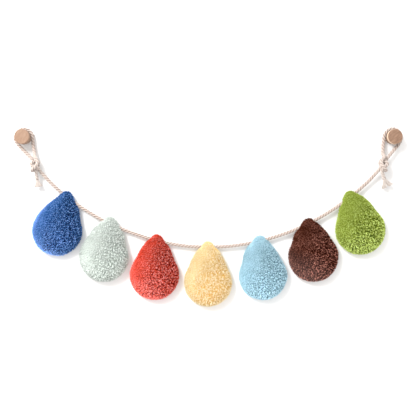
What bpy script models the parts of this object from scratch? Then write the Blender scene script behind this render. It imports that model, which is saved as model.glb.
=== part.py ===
# Raindrop garland: seven tufted cotton drops threaded on a three-strand cotton rope.
# Each end of the rope goes over a wooden wall peg and is hitched round the rope itself.
# The wall is the plane y = 0, the garland hangs on its -Y side and +Z is up.
# The origin is the middle of the left peg's back face.

import math

import bmesh
import bpy
import numpy as np
from mathutils import Vector, noise

MM = 0.001
CLEARANCE = 0.3 * MM

# Pegs
PEG_SPAN = 781.6 * MM
PEG_NECK_RADIUS = 13.4 * MM
PEG_NECK_LENGTH = 14.5 * MM
PEG_HEAD_RADIUS = 15.8 * MM
PEG_LENGTH = 26.0 * MM
PEG_EDGE_ROUND = 1.2 * MM
PEG_SIDES = 36
PEG_ROUND_STEPS = 3

# Rope
ROPE_RADIUS = 3.8 * MM
ROPE_KNOT_RADIUS = 3.6 * MM
ROPE_LAY = 21.0 * MM
ROPE_STEP = 2.6 * MM
ROPE_VALLEY = 0.76
STRANDS = 3
CHANNEL_SIDES = 10
CHANNEL_STEP = 9.0 * MM
CHANNEL_ROWS = (2, -3)

# Rope on the peg's side of the left knot, from its inner strand over the peg and down:
# across, away from the wall, up (mm).
LEFT_LOOP = [
    (23.0, 10.5, -35.2),
    (20.7, 9.2, -24.6),
    (18.8, 8.3, -14.0),
    (17.9, 8.0, -5.5),
    (17.3, 8.0, 3.0),
    (13.3, 8.0, 11.4),
    (6.7, 8.0, 16.1),
    (-0.7, 8.0, 17.5),
    (-8.4, 8.0, 15.7),
    (-14.5, 8.0, 10.2),
    (-18.1, 8.0, 2.5),
    (-18.8, 8.0, -5.1),
    (-15.2, 8.2, -12.3),
    (-8.0, 8.8, -20.4),
    (0.7, 9.8, -29.3),
    (10.3, 11.4, -38.6),
    (17.9, 12.9, -46.2),
]
LEFT_KNOT = (25.5, 13.8, -58.1)
LEFT_KNOT_DOWN = (0.526, -0.851)

# The swag between the knots: across, away from the wall, up (mm).
SWAG = [
    (32.1, 13.2, -68.5),
    (44.2, 11.4, -82.5),
    (58.6, 10.2, -97.9),
    (94.0, 9.4, -129.1),
    (140.2, 9.2, -160.3),
    (182.0, 9.2, -183.6),
    (232.9, 9.2, -203.7),
    (283.8, 9.2, -219.6),
    (336.8, 9.2, -229.4),
    (389.8, 9.2, -232.4),
    (442.8, 9.2, -229.8),
    (495.8, 9.2, -220.7),
    (550.9, 9.2, -204.6),
    (597.5, 9.2, -185.3),
    (646.3, 9.2, -158.2),
    (688.7, 9.4, -128.5),
    (728.9, 10.2, -93.5),
    (743.6, 11.6, -77.6),
    (752.2, 13.2, -67.4),
]

RIGHT_KNOT = (759.3, 13.8, -57.5)
RIGHT_KNOT_DOWN = (-0.582, -0.813)

# Rope on the peg's side of the right knot, from its outer strand over the peg and down.
RIGHT_LOOP = [
    (766.5, 12.9, -46.9),
    (776.9, 11.2, -34.3),
    (788.4, 9.4, -21.0),
    (795.3, 8.2, -12.3),
    (798.9, 8.0, -4.7),
    (799.1, 8.0, 1.9),
    (796.8, 8.0, 9.3),
    (791.1, 8.0, 15.3),
    (782.8, 8.0, 18.2),
    (774.4, 8.0, 16.5),
    (767.6, 8.0, 10.8),
    (763.8, 8.0, 3.0),
    (762.3, 8.0, -6.1),
    (761.0, 8.3, -16.1),
    (760.4, 9.2, -26.7),
    (759.5, 10.5, -37.3),
]

# One rope end hitched round the standing part, from the peg to the tail:
# towards the peg's loop, away from the wall, along the standing part (mm from the knot).
HITCH = [
    (7.0, 7.0, -13.0),
    (8.0, 9.4, -8.0),
    (9.8, 11.0, -2.4),
    (7.4, 13.0, 3.6),
    (0.0, 15.2, 6.6),
    (-7.2, 11.5, 7.8),
    (-10.0, 2.8, 8.0),
    (-6.2, -6.2, 6.4),
    (1.8, -8.6, 2.8),
    (7.6, -5.2, -1.8),
    (8.4, 1.0, -5.4),
    (3.6, 7.4, -7.4),
    (-3.8, 8.2, -5.8),
    (-7.8, 8.0, 0.2),
    (-5.4, 7.8, 6.8),
    (-4.9, 7.0, 13.5),
]

# Tails below the knots: across, away from the wall, up (mm).
LEFT_TAIL = [(27.6, 14.6, -80.0), (28.6, 13.4, -88.0), (29.6, 12.4, -95.0)]
RIGHT_TAIL = [(759.2, 14.6, -80.0), (761.6, 13.4, -87.0), (764.2, 12.4, -93.0)]

# Tightening of the hitches: the rope within KNOT_REACH of a knot moves, the outer KNOT_FADE of
# that less and less, and no two lengths of rope come nearer than KNOT_SPACING.
KNOT_REACH = 34.0 * MM
KNOT_FADE = 0.25
KNOT_STEP = 1.6 * MM
KNOT_SPACING = 2 * ROPE_KNOT_RADIUS + 0.42 * MM
KNOT_OWN_LENGTH = 10.6 * MM
KNOT_ROUNDS = 120
KNOT_PUSHES = 2
KNOT_PULL = 0.05
STANDING_SHARE = 0.35
SQUEEZED_WITHIN = 18.0 * MM
SQUEEZE_FADE = 9.0 * MM
CURVE_READINGS = 16
TAIL_SWELL = 0.8 * MM
TAIL_LOOSE_LENGTH = 20.0 * MM

# Frayed ends: how many yarns stand in each ring and how far from the middle,
# and how far each bundle spreads sideways, in depth and into two tufts.
YARN_START = 0.25
YARN_UNEVENNESS = 0.07
YARN_PHASES = (5.0, 2.0)
FRAY_RINGS = 2
FRAY_ROOT = 2.0 * MM
YARN_RADIUS = 0.42 * MM
YARN_WIDENING = 0.035
YARN_SIDES = 4
YARN_RINGS = ((1, 0.0), (6, 1.25 * MM), (12, 2.5 * MM))
YARN_STEPS = 4
LEFT_FRAY_LENGTH = 9.5 * MM
LEFT_FRAY_SPREAD = (5.0 * MM, 3.0 * MM, 0.3 * MM)
RIGHT_FRAY_LENGTH = 12.5 * MM
RIGHT_FRAY_SPREAD = (6.2 * MM, 3.5 * MM, 2.4 * MM)

# Drops: the belly's circle, the tip's circle and the outward bow of each flank (mm).
DROPS = [
    # name, belly x, belly z, belly radius, tip x, tip z, tip radius, left bow, right bow
    ("drop_blue", 70.5, -197.6, 53.4, 91.2, -124.9, 11.7, 1.4, 4.2),
    ("drop_mint", 169.5, -253.6, 52.9, 182.0, -180.4, 13.7, 3.6, 4.6),
    ("drop_red", 276.3, -291.7, 52.4, 281.6, -216.8, 12.2, 4.5, 3.2),
    ("drop_yellow", 389.8, -307.4, 51.3, 390.0, -231.9, 12.3, 4.4, 4.2),
    ("drop_sky", 506.1, -293.4, 51.6, 499.4, -219.6, 12.8, 6.0, 3.6),
    ("drop_brown", 613.2, -253.0, 53.4, 602.9, -184.0, 13.6, 4.2, 3.4),
    ("drop_green", 712.0, -195.9, 53.2, 690.8, -125.9, 13.4, 1.6, 5.2),
]
DROP_MIDDLE = 10.4 * MM
DROP_FRONT_DEPTH = 17.0 * MM
DROP_BACK_DEPTH = 9.4 * MM
DROP_FRONT_ROLL = 27.0 * MM
DROP_BACK_ROLL = 13.0 * MM
DROP_ROUNDNESS = 2.2
BELLY_POINTS = 22
FLANK_POINTS = 5
FLANK_BOW_POWER = 1.3
TIP_POINTS = 6
FRONT_RINGS = (0.98, 0.92, 0.8, 0.6, 0.32)
BACK_RINGS = (0.965, 0.87, 0.5)
LUMP_SEED = 7.3
LUMP_SIZE = 19.0 * MM
FINE_LUMP_SCALE = 2.1
FINE_LUMP_SHARE = 0.5
LUMP_HEIGHT = 1.7 * MM
BACK_LUMP_HEIGHT = 0.4 * MM
RIM_LUMP_HEIGHT = 1.0 * MM

# Colours as seen, red, green and blue out of 255
COLOURS = {
    "drop_blue": (80, 114, 168),
    "drop_mint": (222, 232, 224),
    "drop_red": (212, 100, 89),
    "drop_yellow": (248, 216, 160),
    "drop_sky": (165, 199, 214),
    "drop_brown": (118, 85, 67),
    "drop_green": (155, 168, 86),
}
WOOD_COLOUR = (222, 184, 150)
COTTON_COLOUR = (243, 232, 220)
WOOD_ROUGHNESS = 0.55
COTTON_ROUGHNESS = 0.95
SMOOTH_ANGLE = math.radians(50.0)


def clear_scene():
    for item in list(bpy.data.objects):
        bpy.data.objects.remove(item, do_unlink=True)


def finish_material(name, colour, roughness):
    material = bpy.data.materials.new(name)
    material.use_nodes = True
    shader = material.node_tree.nodes["Principled BSDF"]
    linear = [(part / 255.0) ** 2.2 for part in colour]
    shader.inputs["Base Color"].default_value = (*linear, 1.0)
    shader.inputs["Roughness"].default_value = roughness
    shader.inputs["Metallic"].default_value = 0.0
    return material


def mesh_object(name, shape, material):
    mesh = bpy.data.meshes.new(name)
    shape.to_mesh(mesh)
    shape.free()
    mesh.shade_smooth()
    mesh.set_sharp_from_angle(angle=SMOOTH_ANGLE)
    item = bpy.data.objects.new(name, mesh)
    bpy.context.scene.collection.objects.link(item)
    if material is not None:
        mesh.materials.append(material)
    return item


def as_cutter(item):
    item.hide_render = True
    item.display_type = "WIRE"


def combine(item, other, operation):
    boolean = item.modifiers.new(operation.lower(), "BOOLEAN")
    boolean.object = other
    boolean.operation = operation
    boolean.solver = "EXACT"


# Pegs

def peg_profile():
    # Radius and distance from the wall, from the middle of the back to the middle of the face.
    points = [
        (0.0, 0.0),
        (PEG_NECK_RADIUS, 0.0),
        (PEG_NECK_RADIUS, PEG_NECK_LENGTH),
        (PEG_HEAD_RADIUS, PEG_NECK_LENGTH + PEG_EDGE_ROUND / 2),
    ]
    for step in range(PEG_ROUND_STEPS + 1):
        turn = math.pi / 2 * step / PEG_ROUND_STEPS
        radius = PEG_HEAD_RADIUS - PEG_EDGE_ROUND * (1 - math.cos(turn))
        reach = PEG_LENGTH - PEG_EDGE_ROUND * (1 - math.sin(turn))
        points.append((radius, reach))
    points.append((0.0, PEG_LENGTH))
    return points


def add_peg(name, across):
    shape = bmesh.new()
    corners = [shape.verts.new((radius, -reach, 0.0)) for radius, reach in peg_profile()]
    edges = [shape.edges.new(pair) for pair in zip(corners, corners[1:])]
    bmesh.ops.spin(
        shape,
        geom=corners + edges,
        cent=(0.0, 0.0, 0.0),
        axis=(0.0, 1.0, 0.0),
        angle=math.tau,
        steps=PEG_SIDES,
        use_merge=True,
    )
    bmesh.ops.remove_doubles(shape, verts=shape.verts, dist=0.001 * MM)
    bmesh.ops.recalc_face_normals(shape, faces=shape.faces)
    peg = mesh_object(name, shape, finish_material(name, WOOD_COLOUR, WOOD_ROUGHNESS))
    peg.location = (across, 0.0, 0.0)
    return peg


# Rope

def world(point):
    # Across, away from the wall and up in mm, as a place in the frame.
    across, out, up = point
    return np.array((across * MM, -out * MM, up * MM))


def hitch_points(knot, down, side):
    # The hitch's points round a knot; side is 1 where the loop lies to the right of the rope.
    middle = world(knot)
    along = np.array((down[0], 0.0, down[1]))
    outwards = np.array((0.0, -1.0, 0.0))
    towards_loop = side * np.cross(outwards, along)
    return [
        middle + MM * (loop * towards_loop + out * outwards + far * along)
        for loop, out, far in HITCH
    ]


def smooth_curve(points, step):
    # A centripetal Catmull-Rom curve through the points, read at even steps.
    points = np.array(points)
    first = 2 * points[0] - points[1]
    last = 2 * points[-1] - points[-2]
    points = np.vstack((first, points, last))
    read = []
    for p0, p1, p2, p3 in zip(points, points[1:], points[2:], points[3:]):
        t1 = math.sqrt(np.linalg.norm(p1 - p0))
        t2 = t1 + math.sqrt(np.linalg.norm(p2 - p1))
        t3 = t2 + math.sqrt(np.linalg.norm(p3 - p2))
        for t in np.linspace(t1, t2, CURVE_READINGS, endpoint=False):
            a1 = (t1 - t) / t1 * p0 + t / t1 * p1
            a2 = (t2 - t) / (t2 - t1) * p1 + (t - t1) / (t2 - t1) * p2
            a3 = (t3 - t) / (t3 - t2) * p2 + (t - t2) / (t3 - t2) * p3
            b1 = (t2 - t) / t2 * a1 + t / t2 * a2
            b2 = (t3 - t) / (t3 - t1) * a2 + (t - t1) / (t3 - t1) * a3
            read.append((t2 - t) / (t2 - t1) * b1 + (t - t1) / (t2 - t1) * b2)
    read.append(points[-2])
    return even_steps(np.array(read), step)


def distances_along(path):
    return np.concatenate(([0.0], np.cumsum(np.linalg.norm(np.diff(path, axis=0), axis=1))))


def stretch(path, start, end, step):
    # The path between two distances along it, read at even steps.
    distances = distances_along(path)
    count = max(2, round((end - start) / step) + 1)
    marks = np.linspace(start, end, count)
    return np.column_stack([np.interp(marks, distances, path[:, axis]) for axis in range(3)])


def even_steps(path, step):
    return stretch(path, 0.0, distances_along(path)[-1], step)


def tighten(path, knot, standing):
    # Draws the hitch tight: each point is pulled towards the middle of its neighbours,
    # and lengths of rope that come nearer than they can lie are pushed apart.
    near = np.flatnonzero(np.linalg.norm(path - world(knot), axis=1) < KNOT_REACH)
    near = near[(near > 0) & (near < len(path) - 1)]
    edge = np.linalg.norm(path[near] - world(knot), axis=1) / KNOT_REACH
    freedom = np.clip((1.0 - edge) / KNOT_FADE, 0.0, 1.0)
    freedom[(near >= standing[0]) & (near <= standing[1])] *= STANDING_SHARE
    apart = np.abs(near[:, None] - near[None, :]) > KNOT_OWN_LENGTH / KNOT_STEP
    for _ in range(KNOT_ROUNDS):
        middle = 0.5 * (path[near - 1] + path[near + 1])
        path[near] += KNOT_PULL * freedom[:, None] * (middle - path[near])
        for _ in range(KNOT_PUSHES):
            offset = path[near][:, None] - path[near][None, :]
            distance = np.linalg.norm(offset, axis=2) + 1e-9
            tight = apart & (distance < KNOT_SPACING)
            push = np.where(tight, (KNOT_SPACING - distance) / distance, 0.0)
            share = freedom[:, None] / (freedom[:, None] + freedom[None, :] + 1e-9)
            path[near] += 0.5 * (offset * (push * share)[:, :, None]).sum(axis=1)
    return path


def rope_path():
    # From the end of the left tail to the end of the right one.
    left_hitch = hitch_points(LEFT_KNOT, LEFT_KNOT_DOWN, 1)
    right_hitch = hitch_points(RIGHT_KNOT, RIGHT_KNOT_DOWN, -1)
    points = [world(point) for point in reversed(LEFT_TAIL)] + list(reversed(left_hitch))
    points += [world(point) for point in LEFT_LOOP + [LEFT_KNOT] + SWAG + [RIGHT_KNOT] + RIGHT_LOOP]
    points += right_hitch + [world(point) for point in RIGHT_TAIL]
    path = smooth_curve(points, KNOT_STEP)
    for knot in (LEFT_KNOT, RIGHT_KNOT):
        centre = int(np.argmin(np.linalg.norm(path - world(knot), axis=1)))
        reach = int(KNOT_REACH / KNOT_STEP)
        path = tighten(path, knot, (centre - reach, centre + reach))
    return path


def frames_along(path):
    # The direction and a side vector at each point, turned no more than the path bends.
    tangents = np.gradient(path, axis=0)
    tangents /= np.linalg.norm(tangents, axis=1)[:, None]
    side = np.cross(tangents[0], (0.0, 1.0, 0.0))
    side /= np.linalg.norm(side)
    sides = []
    for tangent in tangents:
        side = side - tangent * np.dot(side, tangent)
        side = side / np.linalg.norm(side)
        sides.append(side)
    return tangents, np.array(sides)


def rope_radius(point):
    # The rope is squeezed where it is knotted.
    squeeze = 0.0
    for knot in (LEFT_KNOT, RIGHT_KNOT):
        distance = np.linalg.norm(point - world(knot))
        squeeze = max(squeeze, 1.0 - max(0.0, distance - SQUEEZED_WITHIN) / SQUEEZE_FADE)
    return ROPE_RADIUS + (ROPE_KNOT_RADIUS - ROPE_RADIUS) * squeeze


def tube_rings(path, section):
    # Corners round each point of a path; section gives a ring's radii and its turn.
    tangents, sides = frames_along(path)
    distances = distances_along(path)
    rings = []
    for point, tangent, side, distance in zip(path, tangents, sides, distances):
        radii, turn = section(point, distance)
        over = np.cross(tangent, side)
        angles = turn + math.tau * np.arange(len(radii)) / len(radii)
        rings.append([
            point + radius * (math.cos(angle) * side + math.sin(angle) * over)
            for radius, angle in zip(radii, angles)
        ])
    return rings


def add_tube(shape, rings):
    # One closed tube through the rings.
    rings = [[shape.verts.new(corner) for corner in ring] for ring in rings]
    for ring, following in zip(rings, rings[1:]):
        for corner in range(len(ring)):
            after = (corner + 1) % len(ring)
            shape.faces.new((ring[corner], ring[after], following[after], following[corner]))
    shape.faces.new(list(reversed(rings[0])))
    shape.faces.new(rings[-1])


def tube_object(name, rings, material):
    shape = bmesh.new()
    add_tube(shape, rings)
    bmesh.ops.recalc_face_normals(shape, faces=shape.faces)
    return mesh_object(name, shape, material)


def twisted_rings(path):
    # The laid rope, which loosens and swells a little towards both ends.
    length = distances_along(path)[-1]

    def section(point, distance):
        to_end = min(distance, length - distance)
        radius = rope_radius(point) + TAIL_SWELL * max(0.0, 1.0 - to_end / TAIL_LOOSE_LENGTH)
        radii = (radius, radius * ROPE_VALLEY) * STRANDS
        return radii, -math.tau * distance / ROPE_LAY

    return tube_rings(path, section)


def add_channel(path):
    # The space that the rope takes in the drops, with room round it.
    radius = (ROPE_RADIUS + CLEARANCE) / math.cos(math.pi / CHANNEL_SIDES)
    ends = [np.argmin(np.linalg.norm(path - world(SWAG[row]), axis=1)) for row in CHANNEL_ROWS]
    route = even_steps(path[ends[0]:ends[1] + 1], CHANNEL_STEP)
    rings = tube_rings(route, lambda point, distance: ((radius,) * CHANNEL_SIDES, 0.0))
    channel = tube_object("rope_channel", rings, None)
    as_cutter(channel)
    return channel


# Frayed ends

def yarn_route(end, along, side, over, spot, turn, length, spread):
    # One yarn from inside the backing, straight at first and then bending outwards.
    across, deep = math.cos(turn), math.sin(turn)
    root = end - along * FRAY_ROOT + spot * (across * side + deep * over)
    flare = spot / YARN_RINGS[-1][1]
    wide, thick, parting = spread
    out = flare * (wide * across * side + thick * deep * over)
    out += math.copysign(parting, across) * side
    steps = [step / YARN_STEPS for step in range(YARN_STEPS + 1)]
    return np.array([root + along * length * step + out * step ** 2 for step in steps])


def yarn_section(point, distance):
    return (YARN_RADIUS + YARN_WIDENING * distance,) * YARN_SIDES, 0.0


def add_fray(name, rings, length, spread):
    # The rope's last rings, outermost last, which hold the roots of its parted yarns.
    middles = [np.mean(ring, axis=0) for ring in rings]
    along = middles[-1] - middles[-2]
    along /= np.linalg.norm(along)
    side = np.cross((0.0, -1.0, 0.0), along)
    side /= np.linalg.norm(side)
    over = np.cross(along, side)
    parted = [[corner + CLEARANCE * along for corner in rings[0]]] + rings[1:]
    fray = tube_object(name, parted, finish_material(name, COTTON_COLOUR, COTTON_ROUGHNESS))
    yarns = bmesh.new()
    for ring, (count, spot) in enumerate(YARN_RINGS):
        for number in range(count):
            turn = math.tau * (number + YARN_START * (1 + 2 * ring)) / count
            uneven = math.sin(YARN_PHASES[0] * number + YARN_PHASES[1] * ring)
            reach = FRAY_ROOT + length * (1.0 + YARN_UNEVENNESS * uneven)
            route = yarn_route(middles[-1], along, side, over, spot, turn, reach, spread)
            add_tube(yarns, tube_rings(route, yarn_section))
    bmesh.ops.recalc_face_normals(yarns, faces=yarns.faces)
    bundle = mesh_object(name + "_yarns", yarns, None)
    as_cutter(bundle)
    combine(fray, bundle, "UNION")


# Drops

def drop_outline(belly, belly_radius, tip, tip_radius, left_bow, right_bow):
    # Points round the drop, anticlockwise from the right flank's foot when seen from the front.
    axis = tip - belly
    reach = axis.length
    lean = math.acos((belly_radius - tip_radius) / reach)
    heading = math.atan2(axis.y, axis.x)
    points = []
    left = heading + lean
    right = heading - lean

    def on_circle(centre, radius, angle):
        return centre + radius * Vector((math.cos(angle), math.sin(angle)))

    def flank(start, end, bow, normal):
        for step in range(1, FLANK_POINTS + 1):
            part = step / (FLANK_POINTS + 1)
            swell = bow * MM * math.sin(math.pi * part) ** FLANK_BOW_POWER
            points.append(start.lerp(end, part) + normal * swell)

    flank(
        on_circle(belly, belly_radius, right),
        on_circle(tip, tip_radius, right),
        right_bow,
        Vector((math.cos(right), math.sin(right))),
    )
    for step in range(TIP_POINTS):
        angle = right + 2 * lean * step / (TIP_POINTS - 1)
        points.append(on_circle(tip, tip_radius, angle))
    flank(
        on_circle(tip, tip_radius, left),
        on_circle(belly, belly_radius, left),
        left_bow,
        Vector((math.cos(left), math.sin(left))),
    )
    for step in range(BELLY_POINTS):
        angle = left + (math.tau - 2 * lean) * step / (BELLY_POINTS - 1)
        points.append(on_circle(belly, belly_radius, angle))
    return points


def distance_inside(point, outline):
    # How far a point lies inside the outline.
    nearest = math.inf
    for start, end in zip(outline, outline[1:] + outline[:1]):
        edge = end - start
        part = max(0.0, min(1.0, (point - start).dot(edge) / edge.length_squared))
        nearest = min(nearest, (point - start - edge * part).length)
    return nearest


def dome(distance, roll):
    # 0 at the rim, rising steeply and level from roll inwards.
    short = 1.0 - min(1.0, distance / roll)
    return (1.0 - short ** DROP_ROUNDNESS) ** (1.0 / DROP_ROUNDNESS)


def lumps(place, seed):
    low = noise.noise(place / LUMP_SIZE + Vector((seed, 0.0, 0.0)))
    fine = noise.noise(place * FINE_LUMP_SCALE / LUMP_SIZE + Vector((0.0, seed, 0.0)))
    return low + FINE_LUMP_SHARE * fine


def add_drop(row, number, channel):
    name, belly_x, belly_z, belly_radius, tip_x, tip_z, tip_radius, left_bow, right_bow = row
    belly = Vector((belly_x, belly_z)) * MM
    tip = Vector((tip_x, tip_z)) * MM
    outline = drop_outline(belly, belly_radius * MM, tip, tip_radius * MM, left_bow, right_bow)
    seed = LUMP_SEED * (number + 1)
    rim = []
    for point in outline:
        away = (point - belly).normalized()
        swell = RIM_LUMP_HEIGHT * lumps(Vector((point.x, 0.0, point.y)), seed)
        rim.append(point + away * swell)
    shape = bmesh.new()

    def ring(fraction, depth, roll, lump):
        corners = []
        for point in rim:
            spot = belly.lerp(point, fraction)
            rise = dome(distance_inside(spot, rim), roll)
            out = DROP_MIDDLE + rise * depth
            if fraction < 1.0:
                out += lump * rise * lumps(Vector((spot.x, 1.0, spot.y)), seed)
            corners.append(shape.verts.new((spot.x, -out, spot.y)))
        return corners

    def centre(depth, lump):
        out = DROP_MIDDLE + depth + lump * lumps(Vector((belly.x, 1.0, belly.y)), seed)
        return shape.verts.new((belly.x, -out, belly.y))

    def skin(rings, middle):
        for outer, inner in zip(rings, rings[1:]):
            for corner in range(len(rim)):
                after = (corner + 1) % len(rim)
                shape.faces.new((outer[corner], outer[after], inner[after], inner[corner]))
        for corner in range(len(rim)):
            shape.faces.new((rings[-1][corner], rings[-1][(corner + 1) % len(rim)], middle))

    edge = ring(1.0, 0.0, DROP_FRONT_ROLL, 0.0)
    front = [ring(part, DROP_FRONT_DEPTH, DROP_FRONT_ROLL, LUMP_HEIGHT) for part in FRONT_RINGS]
    back = [ring(part, -DROP_BACK_DEPTH, DROP_BACK_ROLL, BACK_LUMP_HEIGHT) for part in BACK_RINGS]
    skin([edge] + front, centre(DROP_FRONT_DEPTH, LUMP_HEIGHT))
    skin([edge] + back, centre(-DROP_BACK_DEPTH, BACK_LUMP_HEIGHT))
    bmesh.ops.recalc_face_normals(shape, faces=shape.faces)
    drop = mesh_object(name, shape, finish_material(name, COLOURS[name], COTTON_ROUGHNESS))
    combine(drop, channel, "DIFFERENCE")
    return drop


def main():
    clear_scene()
    add_peg("peg_left", 0.0)
    add_peg("peg_right", PEG_SPAN)
    path = even_steps(rope_path(), ROPE_STEP)
    rings = twisted_rings(path)
    cotton = finish_material("rope", COTTON_COLOUR, COTTON_ROUGHNESS)
    tube_object("rope", rings[FRAY_RINGS:-FRAY_RINGS], cotton)
    left_rings = rings[FRAY_RINGS::-1]
    right_rings = rings[-FRAY_RINGS - 1:]
    add_fray("fray_left", left_rings, LEFT_FRAY_LENGTH, LEFT_FRAY_SPREAD)
    add_fray("fray_right", right_rings, RIGHT_FRAY_LENGTH, RIGHT_FRAY_SPREAD)
    channel = add_channel(path)
    for number, row in enumerate(DROPS):
        add_drop(row, number, channel)


main()
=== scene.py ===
# Visual model of a raindrop garland: plump tufted cotton drops on a three-strand cotton rope,
# each end of which goes over a wooden wall peg and is hitched round the rope itself.
# The wall is the plane y = 0, the garland hangs on its -Y side and +Z is up.
# Sizes are in metres, and in millimetres where a table says so.

import math

import bmesh
import bpy
import numpy as np
from bpy.props import FloatProperty, FloatVectorProperty, IntProperty, PointerProperty
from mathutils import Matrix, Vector
from mathutils.kdtree import KDTree

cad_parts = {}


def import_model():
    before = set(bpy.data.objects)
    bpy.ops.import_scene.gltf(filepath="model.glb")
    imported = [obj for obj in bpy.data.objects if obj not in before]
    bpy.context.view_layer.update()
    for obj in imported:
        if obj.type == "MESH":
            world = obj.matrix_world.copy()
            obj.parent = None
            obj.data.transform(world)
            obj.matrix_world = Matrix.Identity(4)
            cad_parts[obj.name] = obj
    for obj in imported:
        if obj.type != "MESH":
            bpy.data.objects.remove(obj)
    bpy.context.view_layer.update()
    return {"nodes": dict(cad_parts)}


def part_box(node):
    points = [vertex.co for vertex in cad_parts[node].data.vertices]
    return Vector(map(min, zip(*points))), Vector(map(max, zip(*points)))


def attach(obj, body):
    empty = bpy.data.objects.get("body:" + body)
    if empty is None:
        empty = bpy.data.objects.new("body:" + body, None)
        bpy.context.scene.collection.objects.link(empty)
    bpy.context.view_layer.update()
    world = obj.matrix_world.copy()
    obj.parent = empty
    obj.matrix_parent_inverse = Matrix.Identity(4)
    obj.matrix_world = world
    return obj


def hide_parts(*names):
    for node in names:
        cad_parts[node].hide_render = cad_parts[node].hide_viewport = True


bl_info = {
    "name": "Raindrop Garland",
    "version": (1, 0, 0),
    "blender": (4, 5, 0),
    "location": "3D View > Sidebar > Garland",
    "description": "Tufted cotton drops on a twisted rope that hangs between two wooden pegs",
    "category": "Add Mesh",
}

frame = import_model()

MM = 0.001
TINY = 1e-9
INPUT_KINDS = {int: "NodeSocketInt", float: "NodeSocketFloat", tuple: "NodeSocketVector"}

# The rope's route, as in the part's source: across, away from the wall, up (mm).
LEFT_LOOP = [
    (23.0, 10.5, -35.2),
    (20.7, 9.2, -24.6),
    (18.8, 8.3, -14.0),
    (17.9, 8.0, -5.5),
    (17.3, 8.0, 3.0),
    (13.3, 8.0, 11.4),
    (6.7, 8.0, 16.1),
    (-0.7, 8.0, 17.5),
    (-8.4, 8.0, 15.7),
    (-14.5, 8.0, 10.2),
    (-18.1, 8.0, 2.5),
    (-18.8, 8.0, -5.1),
    (-15.2, 8.2, -12.3),
    (-8.0, 8.8, -20.4),
    (0.7, 9.8, -29.3),
    (10.3, 11.4, -38.6),
    (17.9, 12.9, -46.2),
]
LEFT_KNOT = (25.5, 13.8, -58.1)
LEFT_KNOT_DOWN = (0.526, -0.851)
SWAG = [
    (32.1, 13.2, -68.5),
    (44.2, 11.4, -82.5),
    (58.6, 10.2, -97.9),
    (94.0, 9.4, -129.1),
    (140.2, 9.2, -160.3),
    (182.0, 9.2, -183.6),
    (232.9, 9.2, -203.7),
    (283.8, 9.2, -219.6),
    (336.8, 9.2, -229.4),
    (389.8, 9.2, -232.4),
    (442.8, 9.2, -229.8),
    (495.8, 9.2, -220.7),
    (550.9, 9.2, -204.6),
    (597.5, 9.2, -185.3),
    (646.3, 9.2, -158.2),
    (688.7, 9.4, -128.5),
    (728.9, 10.2, -93.5),
    (743.6, 11.6, -77.6),
    (752.2, 13.2, -67.4),
]
RIGHT_KNOT = (759.3, 13.8, -57.5)
RIGHT_KNOT_DOWN = (-0.582, -0.813)
RIGHT_LOOP = [
    (766.5, 12.9, -46.9),
    (776.9, 11.2, -34.3),
    (788.4, 9.4, -21.0),
    (795.3, 8.2, -12.3),
    (798.9, 8.0, -4.7),
    (799.1, 8.0, 1.9),
    (796.8, 8.0, 9.3),
    (791.1, 8.0, 15.3),
    (782.8, 8.0, 18.2),
    (774.4, 8.0, 16.5),
    (767.6, 8.0, 10.8),
    (763.8, 8.0, 3.0),
    (762.3, 8.0, -6.1),
    (761.0, 8.3, -16.1),
    (760.4, 9.2, -26.7),
    (759.5, 10.5, -37.3),
]
# One rope end hitched round the standing part, from the peg to the tail:
# towards the peg's loop, away from the wall, along the standing part (mm from the knot).
HITCH = [
    (7.0, 7.0, -13.0),
    (8.0, 9.4, -8.0),
    (9.8, 11.0, -2.4),
    (7.4, 13.0, 3.6),
    (0.0, 15.2, 6.6),
    (-7.2, 11.5, 7.8),
    (-10.0, 2.8, 8.0),
    (-6.2, -6.2, 6.4),
    (1.8, -8.6, 2.8),
    (7.6, -5.2, -1.8),
    (8.4, 1.0, -5.4),
    (3.6, 7.4, -7.4),
    (-3.8, 8.2, -5.8),
    (-7.8, 8.0, 0.2),
    (-5.4, 7.8, 6.8),
    (-4.9, 7.0, 13.5),
]
LEFT_TAIL = [(27.6, 14.6, -80.0), (28.6, 13.4, -88.0), (29.6, 12.4, -95.0)]
RIGHT_TAIL = [(759.2, 14.6, -80.0), (761.6, 13.4, -87.0), (764.2, 12.4, -93.0)]

KNOTS = (LEFT_KNOT, RIGHT_KNOT)

# Tightening of the hitches, as in the part's source: the rope within KNOT_REACH of a knot moves,
# the outer KNOT_FADE of that less and less, and no two lengths of rope come nearer than
# KNOT_SPACING.
KNOT_SPACING = 7.62 * MM
KNOT_REACH = 34.0 * MM
KNOT_FADE = 0.25
KNOT_STEP = 1.6 * MM
KNOT_OWN_LENGTH = 10.6 * MM
KNOT_ROUNDS = 120
KNOT_PUSHES = 2
KNOT_PULL = 0.05
STANDING_SHARE = 0.35
SQUEEZED_WITHIN = 18.0 * MM
SQUEEZE_FADE = 9.0 * MM
CURVE_READINGS = 16
TAIL_SWELL = 0.8 * MM
TAIL_LOOSE_LENGTH = 20.0 * MM
# The rope is read at half the solid rope's step, and its last steps belong to the frayed ends.
ROPE_STEP = 1.3 * MM
FRAY_STEPS = 4

# Paler cotton in the hitches and tails, partly loosened cotton and partly painted light against
# their self-shade: within what distance of the knot or the rope's end, over what length it comes
# in, and how pale it is
PALER_HITCH = (36.0 * MM, 20.0 * MM, 0.25)
PALER_TAIL = (30.0 * MM, 12.0 * MM, 0.35)

# The strands' colour goes from a painted shade in the grooves to the ridges' own colour over
# these shares of the rope's radius, and their noise has this grain across a yarn and, for each
# metre, along it.
RIDGE_START = 0.72
RIDGE_WIDTH = 0.22
GRAIN_ACROSS = 4.5
GRAIN_ALONG = 120.0

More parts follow.
